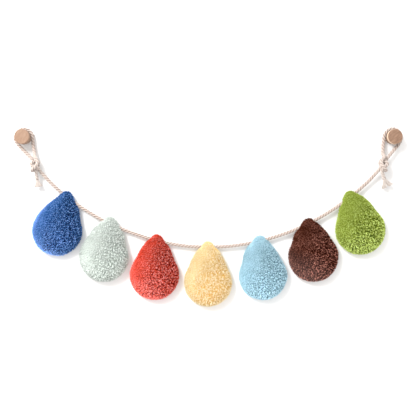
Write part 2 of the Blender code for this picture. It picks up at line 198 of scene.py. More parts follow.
# Frayed ends: length, spread sideways and in depth, and parting into two tufts (mm)
FRAYS = {
    "fray_left": (9.5, 6.6, 4.0, 0.3),
    "fray_right": (12.5, 8.0, 4.2, 3.2),
}
FRAY_YARNS = 110
FRAY_POINTS = 9
FRAY_SEED = 31
FRAY_RADIUS = 3.7 * MM
FRAY_START = 0.4 * MM
# Their yarns: radius, how thin the end is, the share of the fray's length that one reaches,
# how far (mm) and how often it waves, where and how it bends outwards, and its colour's grain
# and rise
YARN_RADIUS = 0.42 * MM
YARN_TAPER = 0.72
YARN_REACH = (0.86, 1.07)
YARN_CURL = (0.15, 0.8)
YARN_WAVES = (1.0, 2.4)
YARN_STRAIGHT = 0.1
YARN_BEND = 1.5
YARN_GRAIN = 900.0
YARN_RISE = 0.8

# How far the cotton's fibres and larger patches change its colour, in the rope and in the pile
ROPE_FIBRE_TINT = 0.5
PILE_FIBRE_TINT = 0.2
PATCH_TINT = 0.3

# Padded bodies: the size of their mesh, within what distance its points are merged, how near the
# rope they are held, and how far and in how many frames they swell
BODY_MESH = 3.0 * MM
MERGED_WITHIN = 0.01 * MM
HELD_WITHIN = 8.0 * MM
SWELLING = 0.8 * MM
PUFF_FRAMES = 20
# How deep they lie under the tips: it starts at a distance from the rope and grows over a
# width, and it is less at the rims, at the edge and where the pile lies down.
SINK_START = 5.0 * MM
SINK_WIDTH = 7.0 * MM
SINK_LOST_AT_RIM = 0.8
SINK_LOST_AT_EDGE = 0.45
SINK_LAID = 0.6

# A rim is where the surface lies near the rope and faces along it.
RIM_REACH = 12.0 * MM
RIM_FADE = 5.0 * MM
RIM_FACING = 3.0
RIM_LEAST = 0.9

# A drop's edge is where it turns away from the room. Its pile is curly by how far right and how
# low a place is, from -1 to 1, but less so at the edge.
EDGE_TURN = 0.7
CURLY_MIDDLE = 0.75
CURLY_RIGHT = 0.9
CURLY_LOW = 0.7
CURLY_LEAST = 0.1
CURLY_LOST_AT_EDGE = 0.85

# Pile grows from this distance to the rope's middle on, and less thickly at the back.
GROWN_START = 4.5 * MM
GROWN_WIDTH = 0.3 * MM
BACK_THINNED = 0.5
BACK_TURN = 0.3
# The outer zone takes painted light at the left and low down, and less towards the back. Then how
# far flank, foot and pile that lies down change the painted light and shade, which is also darker
# where the pile lies down.
LIT_MIDDLE = 0.3
LIT_LOW = 0.5
OUTER_TURN = 0.95
OUTER_MOST = 0.5
OUTER_BACK = 1.5
FOOT_LEAST = -0.35
FLANK_SHADE = 0.5
FOOT_SHADE = 0.6
LAID_SHADE = 0.15

# Forms of one fibre of the pile, in fibre lengths, with its root at 0, 0, 0 and +Z upright: the
# point that it bends towards and its end
FIBRES = [
    ((0.06, 0.00, 0.55), (0.34, 0.04, 0.92)),
    ((-0.04, 0.10, 0.60), (0.16, 0.30, 0.94)),
    ((0.10, -0.08, 0.52), (-0.10, -0.22, 0.95)),
    ((0.02, -0.04, 0.62), (0.44, 0.10, 0.78)),
]
FIBRE_START = (0.0, 0.0, -0.08)
FIBRE_STEPS = 2
FIBRE_SIDES = 3
FIBRE_TAPER = 0.55
# The most fibres on a square metre, and how far apart the drops' seeds are
MOST_FIBRES = 1500000.0
SEED_STEP = 10
# Where the pile lies down it leans this way. At the back it is pressed within a distance of the
# wall, but for a gap.
LAID_WAY = (-0.45, 0.0, -0.75)
PRESSED_WITHIN = 2.5 * MM
WALL_GAP = 0.2 * MM

# The tufts: how far their places swirl, in clump sizes, and how finely; how wide their edges are,
# where shade between the tufts is painted, and how much counts as inside there. Valleys of
# painted shade and pale peaks of painted highlight lie where a noise, which has this grain in a
# clump, is within a width of its middle value.
SWIRL = 1.6
SWIRL_GRAIN = 110.0
TUFT_EDGE = 0.22
TUFT_LEAST = 0.35
VALLEY_GRAIN = 1.15
VALLEY_WIDTH = 0.1
VALLEY_LEAST = 0.2
PEAK_GRAIN = 0.9
PEAK_WIDTH = 0.085
PEAK_SHIFT = (0.31, 0.17, 0.53)
# A fibre's tone, its own chance tone with painted shade in the gaps and valleys and a painted
# highlight on the peaks: how far chance changes it, and the share of that in laid pile; how far
# its place in the tuft does, about an even place; and how far a peak does
TONE_CHANCE = 0.12
TONE_LAID = 0.4
TONE_INSIDE = 0.7
TONE_EVEN = 0.7
TONE_PEAK = 0.6
# A fibre's length: how far chance changes it, what is left where the body isn't sunk, its usual
# share, and how far its place in the tuft changes that, about an even place
LENGTH_CHANCE = 0.1
LENGTH_LEAST = 0.2
LENGTH_USUAL = 0.95
LENGTH_INSIDE = 0.3
LENGTH_EVEN = 0.6

# Colours of the pile, painted shade in its depths between the tufts and at the roots and painted
# light at its pale tips: the least that is left of its deep and middle colours and how fast
# contrast darkens them, how fast it lightens the pale one, and the brightest that cotton is
DEEP = (0.12, 0.7)
MIDDLE = (0.4, 0.2)
PALE = 0.75
BRIGHTEST = 0.95
# How pale a fibre's tip is where its tone is 0, and how pale its root is in laid pile, for
# painted shade at the roots and painted light at the tips; and how far painted light from the
# zones whitens it
TIP_LEAST = 0.25
ROOT_LAID = 0.35
WHITENED = 0.12
WHITE = (0.85, 0.85, 0.85)

# Wood: how its grain leans and is drawn out, how far lines and flecks change its colour and where
# the middle lies, how rough it is, and where the side's painted light and shade starts and over
# what width it comes in, at the face's edge and from halfway along the peg towards the room
GRAIN_LEANS = (("left", math.radians(62.0)), ("right", math.radians(38.0)))
WOOD_STRETCH = (1.0, 0.12, 9.0)
LINE_TINT = 2.6
FLECK_TINT = 0.8
WOOD_MIDDLE = 0.42
WOOD_ROUGHNESS = 0.52
FLECK_ROUGHNESS = 0.12
FACE_EDGE = 0.5 * MM
FACE_EDGE_WIDTH = 0.4 * MM
SIDE_START = 3.0 * MM
SIDE_WIDTH = 9.0 * MM

# The stage: the camera, the light's way and distance from the garland's middle, how far the
# floor reaches, and the wall's lower left and upper right corners, across and up
CAMERA_PLACE = (0.3898, -1.258, -0.1497)
CAMERA_LENS = 51.0
GARLAND_MIDDLE = (0.39, 0.0, -0.16)
KEY_WAY = (-0.72, -1.0, 0.85)
KEY_DISTANCE = 2.4
FLOOR_REACH = 6.0
WALL_CORNERS = ((-4.0, -1.2), (5.0, 3.0))

# Each drop: its colour's name; its painted light and shade in doublings: how much paler it is at
# its left than at its right, at its foot than at its top (painted light, with paler pile low
# down), and at its lit rim than inside; how much paler its tips are than its depths, painted
# light at the tips and painted shade between the tufts; how much richer the colour of its shaded
# depths and how whitish its tips are, a painted highlight; and how far its tufts are drawn out
# into streaks along the drop
DROPS = (
    ("blue", 0.85, 0.28, 2.50, 1.42, 0.5, 0.20, 1.0),
    ("mint", 0.42, 0.24, -1.30, 0.67, 0.6, 0.10, 1.5),
    ("red", 0.80, 0.75, 0.05, 1.34, 0.55, 0.32, 1.0),
    ("yellow", 0.12, 0.24, -0.80, 0.36, 1.5, 0.38, 1.9),
    ("sky", 0.28, 0.50, -0.60, 0.98, 0.4, 0.22, 1.2),
    ("brown", 0.55, 0.80, 0.10, 4.20, 0.9, 0.19, 1.0),
    ("green", 0.00, 0.45, 0.20, 1.52, 1.0, 0.18, 1.7),
)


def srgb(red, green, blue):
    # A colour as seen, out of 255, as linear light.
    return tuple(
        value / 12.92 if value <= 0.04045 else ((value + 0.055) / 1.055) ** 2.4
        for value in (red / 255, green / 255, blue / 255)
    )


def colour_setting(name, description, colour):
    return FloatVectorProperty(
        name=name,
        description=description,
        subtype="COLOR",
        size=3,
        min=0.0,
        max=1.0,
        default=srgb(*colour),
    )


def length_setting(name, description, millimetres):
    return FloatProperty(
        name=name,
        description=description,
        subtype="DISTANCE",
        unit="LENGTH",
        min=0.0,
        default=millimetres * MM,
    )


class RopeSettings(bpy.types.PropertyGroup):
    radius: length_setting("Radius", "Rope radius where it hangs free", 3.8)
    knot_radius: length_setting("Radius in knots", "Rope radius where it is knotted", 3.8)
    lay: length_setting("Lay", "Length of rope in which a strand goes round once", 21.0)
    yarn_lay: length_setting("Yarn lay", "Length in which a yarn goes round its strand", 9.0)
    strands: IntProperty(
        name="Strands", description="Strands in the rope", min=2, max=4, default=3
    )
    strand_share: FloatProperty(
        name="Strand size",
        description="Radius of one strand as a share of the rope's",
        subtype="FACTOR",
        min=0.3,
        max=0.7,
        default=0.5,
    )
    ridge: colour_setting("Ridges", "Cotton on the outside of the strands", (181, 167, 158))
    # Grooves: a painted shade, darker cotton that stands for the shade between the strands.
    groove_shade: colour_setting("Grooves", "Cotton between the strands", (100, 75, 63))
    # Loose yarns: paler cotton of the frayed ends, hitches and tails, partly loosened cotton and
    # partly painted light against their self-shade.
    loose: colour_setting("Loose yarns", "Cotton of the frayed ends and hitches", (198, 189, 182))


class PileSettings(bpy.types.PropertyGroup):
    spacing: length_setting("Spacing", "Least distance between two fibres", 1.24)
    length: length_setting("Length", "Length of the pile's fibres", 5.2)
    thickness: length_setting("Thickness", "Thickness of a fibre at its root", 1.25)
    clump: length_setting("Clump size", "Distance between tufts that the fibres lean into", 3.6)
    leaning: FloatProperty(
        name="Clumping",
        description="How far the fibres lean towards the middle of their tuft",
        subtype="FACTOR",
        min=0.0,
        max=1.5,
        default=0.85,
    )
    depth: length_setting("Depth", "How far the padded body lies under the tips", 3.0)
    seed: IntProperty(name="Seed", description="Seed of the tufts' places", default=4)
    blue: colour_setting("Blue", "Pile of the first drop", (63, 118, 188))
    mint: colour_setting("Mint", "Pile of the second drop", (226, 233, 227))
    red: colour_setting("Red", "Pile of the third drop", (250, 84, 58))
    yellow: colour_setting("Yellow", "Pile of the fourth drop", (250, 229, 179))
    sky: colour_setting("Sky", "Pile of the fifth drop", (195, 235, 250))
    brown: colour_setting("Brown", "Pile of the sixth drop", (100, 40, 8))
    green: colour_setting("Green", "Pile of the seventh drop", (180, 199, 82))


class PegSettings(bpy.types.PropertyGroup):
    # The side colours paint light and shade on each peg's side: the right peg's pale side is
    # painted light.
    left_wood: colour_setting("Left peg", "Wood of the left peg", (142, 115, 95))
    left_side: colour_setting("Left side", "Wood round the left peg", (140, 112, 92))
    left_grain: colour_setting("Left grain", "Grain lines of the left peg", (122, 92, 71))
    right_wood: colour_setting("Right peg", "Wood of the right peg", (140, 111, 91))
    right_side: colour_setting("Right side", "Wood round the right peg", (222, 194, 168))
    right_grain: colour_setting("Right grain", "Grain lines of the right peg", (98, 71, 53))


class StageSettings(bpy.types.PropertyGroup):
    key_power: FloatProperty(
        name="Key light",
        description="Power of the soft light at the left",
        unit="POWER",
        default=82.0,
    )
    key_size: length_setting("Key size", "Side of the soft light", 850.0)
    sky_strength: FloatProperty(
        name="Fill", description="Strength of the even light from all round", default=1.42
    )
    wall: colour_setting("Wall", "Paint of the wall and floor", (222, 221, 220))


class GarlandSettings(bpy.types.PropertyGroup):
    rope: PointerProperty(type=RopeSettings)
    pile: PointerProperty(type=PileSettings)
    pegs: PointerProperty(type=PegSettings)
    stage: PointerProperty(type=StageSettings)


# Node trees

class Wire:
    """An output of a node; arithmetic on it adds Math nodes to the same tree."""

    def __init__(self, bench, socket):
        self.bench = bench
        self.socket = socket

    def out(self, name):
        return Wire(self.bench, self.socket.node.outputs[name])

    def maths(self, operation, first, second=0.0):
        return self.bench.add("ShaderNodeMath", {"operation": operation}, {0: first, 1: second})

    def __add__(self, other):
        return self.maths("ADD", self, other)

    __radd__ = __add__

    def __sub__(self, other):
        return self.maths("SUBTRACT", self, other)

    def __rsub__(self, other):
        return self.maths("SUBTRACT", other, self)

    def __mul__(self, other):
        return self.maths("MULTIPLY", self, other)

    __rmul__ = __mul__

    def __truediv__(self, other):
        return self.maths("DIVIDE", self, other)

    def __rtruediv__(self, other):
        return self.maths("DIVIDE", other, self)

    def __rpow__(self, other):
        return self.maths("POWER", other, self)

    def __abs__(self):
        return self.maths("ABSOLUTE", self)

    def cosine(self):
        return self.maths("COSINE", self)

    def sine(self):
        return self.maths("SINE", self)


class Bench:
    """Adds nodes to one tree; a node's settings come before its sockets' values and links."""

    def __init__(self, tree):
        self.tree = tree

    def add(self, kind, settings=None, sockets=None, output=0):
        node = self.tree.nodes.new(kind)
        for name, value in (settings or {}).items():
            if name == "stops":
                set_stops(node.color_ramp, value)
            else:
                setattr(node, name, value)
        for name, value in (sockets or {}).items():
            self.feed(node.inputs[name], value)
        if node.outputs:
            return Wire(self, node.outputs[output])
        return node

    def feed(self, socket, value):
        if isinstance(value, list):
            for part in value:
                self.feed(socket, part)
        elif isinstance(value, Wire):
            self.tree.links.new(value.socket, socket)
        else:
            socket.default_value = value

    def blend(self, share, first, second):
        sockets = {0: share, 6: opaque(first), 7: opaque(second)}
        return self.add("ShaderNodeMix", {"data_type": "RGBA"}, sockets, output=2)

    def scaled(self, vector, factor):
        settings = {"operation": "SCALE"}
        return self.add("ShaderNodeVectorMath", settings, {"Vector": vector, "Scale": factor})

    def vectors(self, operation, first, second=(0.0, 0.0, 0.0), output=0):
        settings = {"operation": operation}
        return self.add("ShaderNodeVectorMath", settings, {0: first, 1: second}, output)

    def vector_sum(self, first, second):
        return self.vectors("ADD", first, second)

    def clamped(self, value):
        return self.add("ShaderNodeClamp", {}, {0: value})

    def noise(self, place, scale, detail=2.0, output=0):
        sockets = {"Vector": place, "Scale": scale, "Detail": detail}
        return self.add("ShaderNodeTexNoise", {}, sockets, output)

    def shade_value(self, name, output=2):
        # A material's reading of an attribute: a number, or from output 1 a vector.
        return self.add("ShaderNodeAttribute", {"attribute_name": name}, {}, output)

    def own_place(self):
        return self.add("ShaderNodeTexCoord", {}, {}, output=3)

    def point(self):
        return self.add("GeometryNodeInputPosition")

    def field(self, name, kind="FLOAT"):
        # A Geometry Nodes tree's reading of an attribute.
        return self.add("GeometryNodeInputNamedAttribute", {"data_type": kind}, {"Name": name})

    def store(self, geometry, name, value, kind="FLOAT"):
        settings = {"data_type": kind, "domain": "POINT"}
        sockets = {"Geometry": geometry, "Name": name, "Value": value}
        return self.add("GeometryNodeStoreNamedAttribute", settings, sockets)

    def chance(self, low, high, seed, whole=False):
        kind, first, output = ("INT", 4, 2) if whole else ("FLOAT", 2, 1)
        sockets = {first: low, first + 1: high, "Seed": seed}
        return self.add("FunctionNodeRandomValue", {"data_type": kind}, sockets, output)

    def sized_line(self, mesh):
        # A mesh's lines as curves, whose radius is the attribute "size", and that size.
        size = self.field("size")
        line = self.add("GeometryNodeMeshToCurve", {}, {"Mesh": mesh})
        return self.add("GeometryNodeSetCurveRadius", {}, {"Curve": line, "Radius": size}), size

    def circle(self, sides, radius):
        sockets = {"Resolution": sides, "Radius": radius}
        return self.add("GeometryNodeCurvePrimitiveCircle", {}, sockets)

    def tube(self, curve, profile):
        sockets = {"Curve": curve, "Profile Curve": profile, "Fill Caps": True}
        return self.add("GeometryNodeCurveToMesh", {}, sockets)

    def bump(self, shader, height, strength, distance):
        sockets = {"Strength": strength, "Distance": distance, "Height": height}
        self.feed(shader.inputs["Normal"], self.add("ShaderNodeBump", {}, sockets))


def opaque(colour):
    return colour if isinstance(colour, Wire) else (*colour[:3], 1.0)


def set_stops(ramp, stops):
    while len(ramp.elements) < len(stops):
        ramp.elements.new(1.0)
    for element, (place, colour) in zip(ramp.elements, stops):
        element.position = place
        element.color = opaque(colour)


def start_finish(name, constants):
    # A material with its shader's constants; returns the material, its bench and the shader.
    material = bpy.data.materials.new(name)
    material.use_nodes = True
    shader = material.node_tree.nodes["Principled BSDF"]
    for socket, value in constants.items():
        shader.inputs[socket].default_value = value
    return material, Bench(material.node_tree), shader


def start_tree(name, inputs):
    # A Geometry Nodes tree with a geometry and a finish in and a geometry out; its other inputs
    # are given with their defaults.
    tree = bpy.data.node_groups.new(name, "GeometryNodeTree")
    add_socket = tree.interface.new_socket
    add_socket("Geometry", in_out="INPUT", socket_type="NodeSocketGeometry")
    for label, default in inputs.items():
        kind = INPUT_KINDS[type(default)]
        add_socket(label, in_out="INPUT", socket_type=kind).default_value = default
    add_socket("Finish", in_out="INPUT", socket_type="NodeSocketMaterial")
    add_socket("Geometry", in_out="OUTPUT", socket_type="NodeSocketGeometry")
    bench = Bench(tree)
    return tree, bench, bench.add("NodeGroupInput")


def end_tree(bench, geometry, given):
    smooth = bench.add("GeometryNodeSetShadeSmooth", {}, {"Geometry": geometry})
    real = bench.add("GeometryNodeRealizeInstances", {}, {"Geometry": smooth})
    sockets = {"Geometry": real, "Material": given.out("Finish")}
    finished = bench.add("GeometryNodeSetMaterial", {}, sockets)
    bench.add("NodeGroupOutput", {}, {"Geometry": finished})


def grow(item, tree, values):
    # Runs a tree on an object's mesh and keeps the result as the object's plain mesh.
    modifier = item.modifiers.new(tree.name, "NODES")
    modifier.node_group = tree
    for socket in tree.interface.items_tree:
        if socket.in_out == "INPUT" and socket.name in values:
            modifier[socket.identifier] = values[socket.name]
    keep_result(item)


def keep_result(item):
    # The evaluated mesh takes the place of the object's mesh and its modifiers.
    bpy.context.view_layer.update()
    graph = bpy.context.evaluated_depsgraph_get()
    shown = item.evaluated_get(graph)
    mesh = bpy.data.meshes.new_from_object(
        shown, preserve_all_data_layers=True, depsgraph=graph
    )
    old = item.data
    item.modifiers.clear()
    item.data = mesh
    bpy.data.meshes.remove(old)
    mesh.name = item.name


def new_piece(name, points, edges=(), faces=()):
    mesh = bpy.data.meshes.new(name)
    mesh.from_pydata([tuple(point) for point in points], edges, faces)
    item = bpy.data.objects.new(name, mesh)
    bpy.context.scene.collection.objects.link(item)
    return item


def keep_values(mesh, name, values):
    mesh.attributes.new(name, "FLOAT", "POINT").data.foreach_set("value", values)


def line_piece(name, routes, sizes):
    # Open lines through points, with each point's share of the full thickness.
    edges = []
    start = 0
    for route in routes:
        edges += [(start + step, start + step + 1) for step in range(len(route) - 1)]
        start += len(route)
    item = new_piece(name, np.vstack(routes), edges)
    keep_values(item.data, "size", sizes)
    return item


def ramp(values, start, width):
    # From 0 at the start to 1 a width further on; with a width below 0 it falls instead.
    return np.clip((values - start) / width, 0.0, 1.0)


# The rope's route

def world(point):
    # Across, away from the wall and up in mm, as a place in the frame.
    across, out, up = point
    return np.array((across * MM, -out * MM, up * MM))


def hitch_points(knot, down, side):
    # The hitch's points round a knot; side is 1 where the loop lies to the right of the rope.
    middle = world(knot)
    along = np.array((down[0], 0.0, down[1]))
    outwards = np.array((0.0, -1.0, 0.0))
    towards_loop = side * np.cross(outwards, along)
    return [
        middle + MM * (loop * towards_loop + out * outwards + far * along)
        for loop, out, far in HITCH
    ]


def smooth_curve(points, step):
    # A centripetal Catmull-Rom curve through the points, read at even steps.
    points = np.array(points)
    first = 2 * points[0] - points[1]
    last = 2 * points[-1] - points[-2]
    points = np.vstack((first, points, last))
    read = []
    for p0, p1, p2, p3 in zip(points, points[1:], points[2:], points[3:]):
        t1 = math.sqrt(np.linalg.norm(p1 - p0))
        t2 = t1 + math.sqrt(np.linalg.norm(p2 - p1))
        t3 = t2 + math.sqrt(np.linalg.norm(p3 - p2))
        for t in np.linspace(t1, t2, CURVE_READINGS, endpoint=False):
            a1 = (t1 - t) / t1 * p0 + t / t1 * p1
            a2 = (t2 - t) / (t2 - t1) * p1 + (t - t1) / (t2 - t1) * p2
            a3 = (t3 - t) / (t3 - t2) * p2 + (t - t2) / (t3 - t2) * p3
            b1 = (t2 - t) / t2 * a1 + t / t2 * a2
            b2 = (t3 - t) / (t3 - t1) * a2 + (t - t1) / (t3 - t1) * a3
            read.append((t2 - t) / (t2 - t1) * b1 + (t - t1) / (t2 - t1) * b2)
    read.append(points[-2])
    return even_steps(np.array(read), step)


def distances_along(path):
    return np.concatenate(([0.0], np.cumsum(np.linalg.norm(np.diff(path, axis=0), axis=1))))


def distances_from(knot, path):
    return np.linalg.norm(path - world(knot), axis=1)


def even_steps(path, step):
    distances = distances_along(path)
    marks = np.linspace(0.0, distances[-1], max(2, round(distances[-1] / step) + 1))
    return np.column_stack([np.interp(marks, distances, path[:, axis]) for axis in range(3)])


def tighten(path, knot, standing):
    # Draws the hitch tight: each point is pulled towards the middle of its neighbours,
    # and lengths of rope that come nearer than they can lie are pushed apart.
    near = np.flatnonzero(distances_from(knot, path) < KNOT_REACH)
    near = near[(near > 0) & (near < len(path) - 1)]
    edge = distances_from(knot, path[near]) / KNOT_REACH
    freedom = np.clip((1.0 - edge) / KNOT_FADE, 0.0, 1.0)
    freedom[(near >= standing[0]) & (near <= standing[1])] *= STANDING_SHARE
    apart = np.abs(near[:, None] - near[None, :]) > KNOT_OWN_LENGTH / KNOT_STEP
    for _ in range(KNOT_ROUNDS):
        middle = 0.5 * (path[near - 1] + path[near + 1])
        path[near] += KNOT_PULL * freedom[:, None] * (middle - path[near])
        for _ in range(KNOT_PUSHES):
            offset = path[near][:, None] - path[near][None, :]
            distance = np.linalg.norm(offset, axis=2) + TINY
            tight = apart & (distance < KNOT_SPACING)
            push = np.where(tight, (KNOT_SPACING - distance) / distance, 0.0)
            share = freedom[:, None] / (freedom[:, None] + freedom[None, :] + TINY)
            path[near] += 0.5 * (offset * (push * share)[:, :, None]).sum(axis=1)
    return path


def rope_route():
    # From the end of the left tail to the end of the right one.
    left_hitch = hitch_points(LEFT_KNOT, LEFT_KNOT_DOWN, 1)
    right_hitch = hitch_points(RIGHT_KNOT, RIGHT_KNOT_DOWN, -1)
    points = [world(point) for point in reversed(LEFT_TAIL)] + list(reversed(left_hitch))
    swag = LEFT_LOOP + [LEFT_KNOT] + SWAG + [RIGHT_KNOT] + RIGHT_LOOP
    points += [world(point) for point in swag]
    points += right_hitch + [world(point) for point in RIGHT_TAIL]
    path = smooth_curve(points, KNOT_STEP)
    for knot in KNOTS:
        centre = int(np.argmin(distances_from(knot, path)))
        reach = int(KNOT_REACH / KNOT_STEP)
        path = tighten(path, knot, (centre - reach, centre + reach))
    return even_steps(path, ROPE_STEP)


ROUTE = rope_route()


def from_knots():
    return np.min([distances_from(knot, ROUTE) for knot in KNOTS], axis=0)


def from_ends():
    run = distances_along(ROUTE)
    return np.minimum(run, run[-1] - run)


def sizes_along(settings):
    # The rope's radius at each point of the route as a share of its own: it is squeezed where
    # it is knotted, and it loosens and swells towards both ends.
    squeezed = ramp(from_knots(), SQUEEZED_WITHIN + SQUEEZE_FADE, -SQUEEZE_FADE)
    loose = np.maximum(0.0, 1.0 - from_ends() / TAIL_LOOSE_LENGTH)
    swollen = TAIL_SWELL / settings.radius * loose
    return 1.0 - (1.0 - settings.knot_radius / settings.radius) * squeezed + swollen


def paler_along():
    # How pale the cotton is at each point of the route: loosened cotton and painted light in the
    # hitches and tails.
    return sum(
        share * ramp(distances, reach, -width)
        for distances, (reach, width, share) in (
            (from_knots(), PALER_HITCH),
            (from_ends(), PALER_TAIL),
        )
    )


# Rope

def cotton_finish(name, low, high, clean):
    # Cream cotton yarn: one colour where it lies low, for the rope a painted shade in the grooves
    # between the strands, another where it lies high, and a third, paler one where the route says
    # so, which is loosened cotton and painted light in the hitches and tails.
    constants = {"Roughness": 0.92, "Specular IOR Level": 0.2, "Sheen Weight": 0.25}
    material, bench, shader = start_finish(name, constants)
    fibres = bench.noise(bench.shade_value("yarn", output=1), scale=1.0, detail=3.0)
    patches = bench.noise(bench.own_place(), scale=90.0)
    height = bench.shade_value("rise") + (fibres - 0.5) * ROPE_FIBRE_TINT
    height = height + (patches - 0.5) * PATCH_TINT
    colour = bench.blend(bench.shade_value("clean"), bench.blend(height, low, high), clean)
    bench.feed(shader.inputs["Base Color"], colour)
    bench.bump(shader, fibres, strength=0.6, distance=0.4 * MM)
    return material


def strand_tree():
    # Strands twisted round a line, each a round tube, whose angle falls along the line.
    tree, bench, given = start_tree("twisted strands", {
        "Strands": 3,
        "Strand Radius": 2.0 * MM,
        "Strand Offset": 2.0 * MM,
        "Lay": 20.0 * MM,
        "Yarn Lay": 10.0 * MM,
        "Sides": 12,
    })
    line, size = bench.sized_line(given.out("Geometry"))
    sockets = {"Geometry": line, "Amount": given.out("Strands")}
    copies = bench.add("GeometryNodeDuplicateElements", {"domain": "SPLINE"}, sockets)
    run = bench.add("GeometryNodeSplineParameter").out("Length")
    kept = bench.store(copies, "run", run)
    kept = bench.store(kept, "axis", bench.point(), "FLOAT_VECTOR")
    turn = math.tau * copies.out("Duplicate Index") / given.out("Strands")
    turn = turn - math.tau * run / given.out("Lay")
    side = bench.add("GeometryNodeInputNormal")
    over = bench.vectors("CROSS_PRODUCT", bench.add("GeometryNodeInputTangent"), side)
    radial = bench.vector_sum(
        bench.scaled(side, turn.cosine()), bench.scaled(over, turn.sine())
    )
    offset = bench.scaled(radial, size * given.out("Strand Offset"))
    strands = bench.add("GeometryNodeSetPosition", {}, {"Geometry": kept, "Offset": offset})
    around = bench.add("GeometryNodeSplineParameter").out("Factor")
    circle = bench.circle(given.out("Sides"), given.out("Strand Radius"))
    tubes = bench.tube(strands, bench.store(circle, "around", around))
    # The yarns run round their strand the other way.
    run = bench.field("run")
    yarn_turn = math.tau * bench.field("around") + math.tau * run / given.out("Yarn Lay")
    grain = {
        0: GRAIN_ACROSS * yarn_turn.cosine(),
        1: GRAIN_ACROSS * yarn_turn.sine(),
        2: GRAIN_ALONG * run,
    }
    grain = bench.add("ShaderNodeCombineXYZ", {}, grain)
    tubes = bench.store(tubes, "yarn", grain, "FLOAT_VECTOR")
    # How high a point lies on its strand; the finish paints shade where it lies low, in the
    # grooves.
    axis = bench.field("axis", "FLOAT_VECTOR")
    away = bench.vectors("DISTANCE", bench.point(), axis, output=1)
    reach = given.out("Strand Radius") + given.out("Strand Offset")
    rise = bench.clamped((away / (reach * size) - RIDGE_START) / RIDGE_WIDTH)
    end_tree(bench, bench.store(tubes, "rise", rise), given)
    return tree


class GARLAND_OT_rope(bpy.types.Operator):
    """Twist the rope's strands along its route, hitches and tails included"""

    bl_idname = "garland.rope"
    bl_label = "Rope"

    def execute(self, context):
        settings = context.scene.garland.rope
        laid = slice(FRAY_STEPS, -FRAY_STEPS)
        route = ROUTE[laid]
        rope = line_piece("rope_strands", [route], sizes_along(settings)[laid])
        keep_values(rope.data, "clean", paler_along()[laid])
        strand = settings.radius * settings.strand_share
        finish = cotton_finish(
            "cream cotton rope", settings.groove_shade, settings.ridge, settings.loose
        )
        grow(rope, strand_tree(), {
            "Strands": settings.strands,
            "Strand Radius": strand,
            "Strand Offset": settings.radius - strand,
            "Lay": settings.lay,
            "Yarn Lay": settings.yarn_lay,
            "Finish": finish,
        })
        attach(rope, "root")
        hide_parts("rope")
        return {"FINISHED"}


# Frayed ends

def yarn_lines(name, random):
    # The routes of one rope end's loose yarns, from the rope's end outwards and down.
    length, wide, thick, parting = (value * MM for value in FRAYS[name])
    ends = ROUTE[:FRAY_STEPS + 1][::-1] if name == "fray_left" else ROUTE[-FRAY_STEPS - 1:]
    along = (ends[-1] - ends[-2]) / np.linalg.norm(ends[-1] - ends[-2])
    side = np.cross((0.0, -1.0, 0.0), along)
    side /= np.linalg.norm(side)
    over = np.cross(along, side)
    routes = []
    for _ in range(FRAY_YARNS):
        spot = math.sqrt(random.random())
        turn = math.tau * random.random()
        across, deep = spot * math.cos(turn), spot * math.sin(turn)
        root = ends[0] + FRAY_START * along + FRAY_RADIUS * (across * side + deep * over)
        reach = np.linalg.norm(ends[-1] - ends[0]) + length * random.uniform(*YARN_REACH)
        out = wide * across * side + thick * deep * over
        out = out + math.copysign(parting, across) * side
        curl = random.uniform(*YARN_CURL) * MM
        waves = random.uniform(*YARN_WAVES)
        start = math.tau * random.random()
        route = []
        for part in np.linspace(0.0, 1.0, FRAY_POINTS):
            wave = start + math.tau * waves * part
            sway = curl * part * np.array((math.cos(wave), math.sin(wave)))
            bend = max(0.0, part - YARN_STRAIGHT) ** YARN_BEND
            straight = root + along * reach * part
            route.append(straight + out * bend + sway[0] * side + sway[1] * over)
        routes.append(np.array(route))
    return routes


def yarn_tree():
    # A thin tube along each line, thinner towards its end.
    tree, bench, given = start_tree("loose yarns", {"Yarn Radius": 0.4 * MM, "Sides": 5})
    line, size = bench.sized_line(given.out("Geometry"))
    tubes = bench.tube(line, bench.circle(given.out("Sides"), given.out("Yarn Radius")))
    grain = bench.scaled(bench.point(), YARN_GRAIN)
    tubes = bench.store(tubes, "yarn", grain, "FLOAT_VECTOR")
    end_tree(bench, bench.store(tubes, "rise", YARN_RISE * size), given)
    return tree


class GARLAND_OT_frays(bpy.types.Operator):
    """Part both rope ends into loose yarns"""

    bl_idname = "garland.frays"
    bl_label = "Frayed ends"

    def execute(self, context):
        settings = context.scene.garland.rope
        loose = settings.loose
        tree = yarn_tree()
        # The yarns take the paler loose cotton, partly painted light against their self-shade.
        finish = cotton_finish("unlaid cotton yarn", settings.ridge, loose, loose)
        for number, name in enumerate(FRAYS):
            routes = yarn_lines(name, np.random.RandomState(FRAY_SEED + number))
            sizes = np.tile(np.linspace(1.0, YARN_TAPER, FRAY_POINTS), len(routes))
            yarns = line_piece(name + "_yarns", routes, sizes)
            grow(yarns, tree, {"Yarn Radius": YARN_RADIUS, "Finish": finish})
            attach(yarns, "root")
            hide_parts(name)
        return {"FINISHED"}


# Drops

